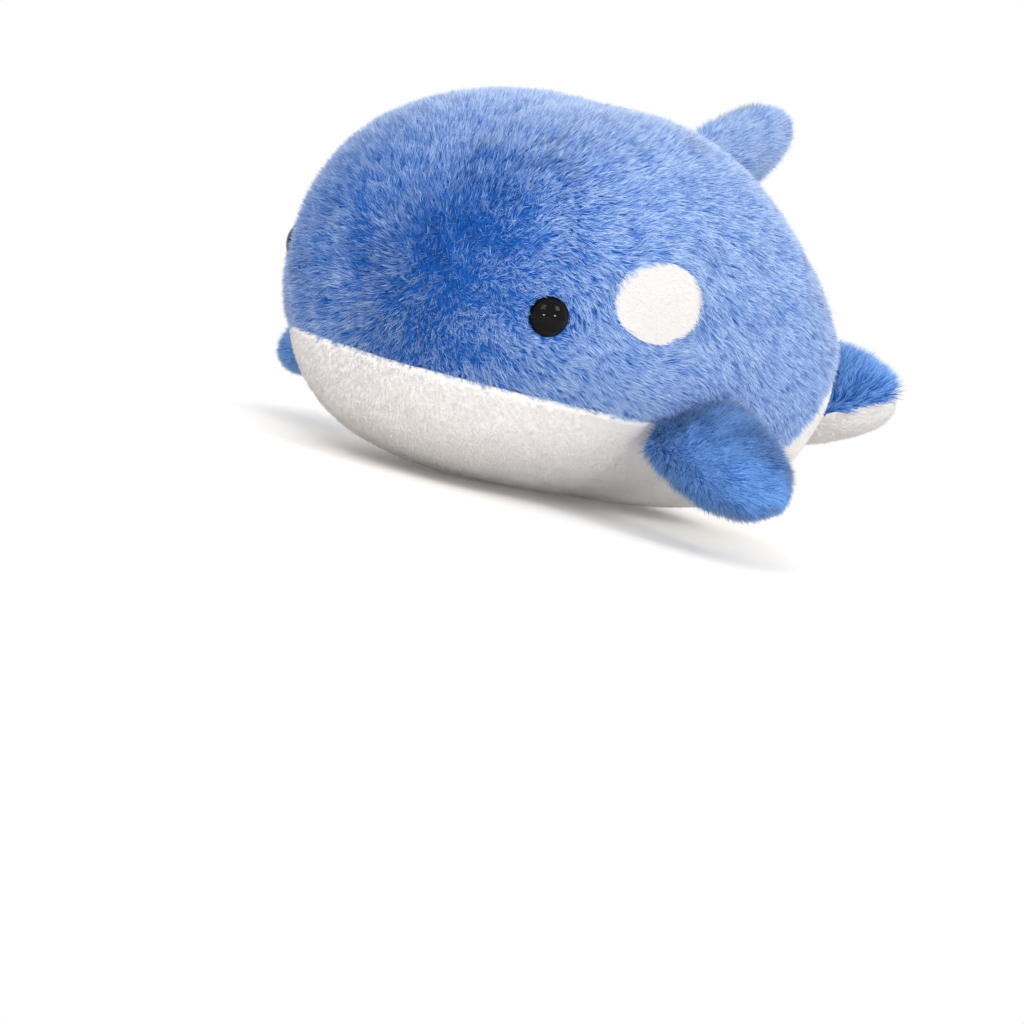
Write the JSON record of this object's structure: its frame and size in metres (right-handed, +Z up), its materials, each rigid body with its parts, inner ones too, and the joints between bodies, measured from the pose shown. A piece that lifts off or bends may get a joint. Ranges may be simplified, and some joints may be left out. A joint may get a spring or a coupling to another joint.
{
  "type": "plush whale",
  "caption": "Stuffed toy whale with a rounded blue body, pale belly and eye patches, black safety eyes, side flippers, a back fin and a turned-up tail fluke.",
  "frame": {"origin": "on the table, under the middle of the whale's length and width", "axes": "+X to the whale's left, +Y from the nose towards the tail, +Z up"},
  "size_m": [0.205, 0.2275, 0.1392],
  "materials": {
    "blue_plush": "medium-long polyester pile, sheared",
    "blue_limb_plush": "medium-long polyester pile, shaggier on the limbs",
    "white_plush": "short dense polyester pile",
    "white_patch_plush": "short dense polyester pile",
    "polyester_fibre": "loose fibre filling",
    "black_eye_plastic": "polished black",
    "natural_nylon": "natural moulded nylon"
  },
  "bodies": {
    "body": {"side_panel_left": "blue_plush", "side_panel_right": "blue_plush", "belly_panel": "white_plush", "body_filling": "polyester_fibre", "eye_patch_left": "white_patch_plush", "eye_patch_right": "white_patch_plush", "eye_left": "black_eye_plastic", "eye_right": "black_eye_plastic", "eye_washer_left": "natural_nylon", "eye_washer_right": "natural_nylon"},
    "flipper_left": {"flipper_left_upper": "blue_limb_plush", "flipper_left_under": "blue_limb_plush", "flipper_left_filling": "polyester_fibre"},
    "flipper_right": {"flipper_right_upper": "blue_limb_plush", "flipper_right_under": "blue_limb_plush", "flipper_right_filling": "polyester_fibre"},
    "fin": {"fin_panel_left": "blue_plush", "fin_panel_right": "blue_plush", "fin_filling": "polyester_fibre"},
    "fluke": {"fluke_top_panel": "blue_limb_plush", "fluke_under_panel": "white_plush", "fluke_filling": "polyester_fibre"}
  },
  "joints": [
    {"name": "flipper_left_flap", "type": "hinge", "parent": "body", "child": "flipper_left", "pos_m": [0.06479, -0.02265, 0.0365], "axis": [-0.2029, -0.8634, -0.462], "range_deg": [-20, 35], "stiffness_Nm_per_rad": 0.03},
    {"name": "flipper_right_flap", "type": "hinge", "parent": "body", "child": "flipper_right", "pos_m": [-0.06479, -0.02265, 0.0365], "axis": [-0.2029, 0.8634, 0.462], "range_deg": [-20, 35], "stiffness_Nm_per_rad": 0.03},
    {"name": "fin_lean", "type": "hinge", "parent": "body", "child": "fin", "pos_m": [0, 0.02622, 0.10735], "axis": [0, 0.8451, -0.5347], "range_deg": [-25, 25], "stiffness_Nm_per_rad": 0.03},
    {"name": "tail_flex", "type": "hinge", "parent": "body", "child": "fluke", "pos_m": [0, 0.07437, 0.0367], "axis": [1, 0, 0], "range_deg": [-20, 20], "stiffness_Nm_per_rad": 0.06}
  ]
}
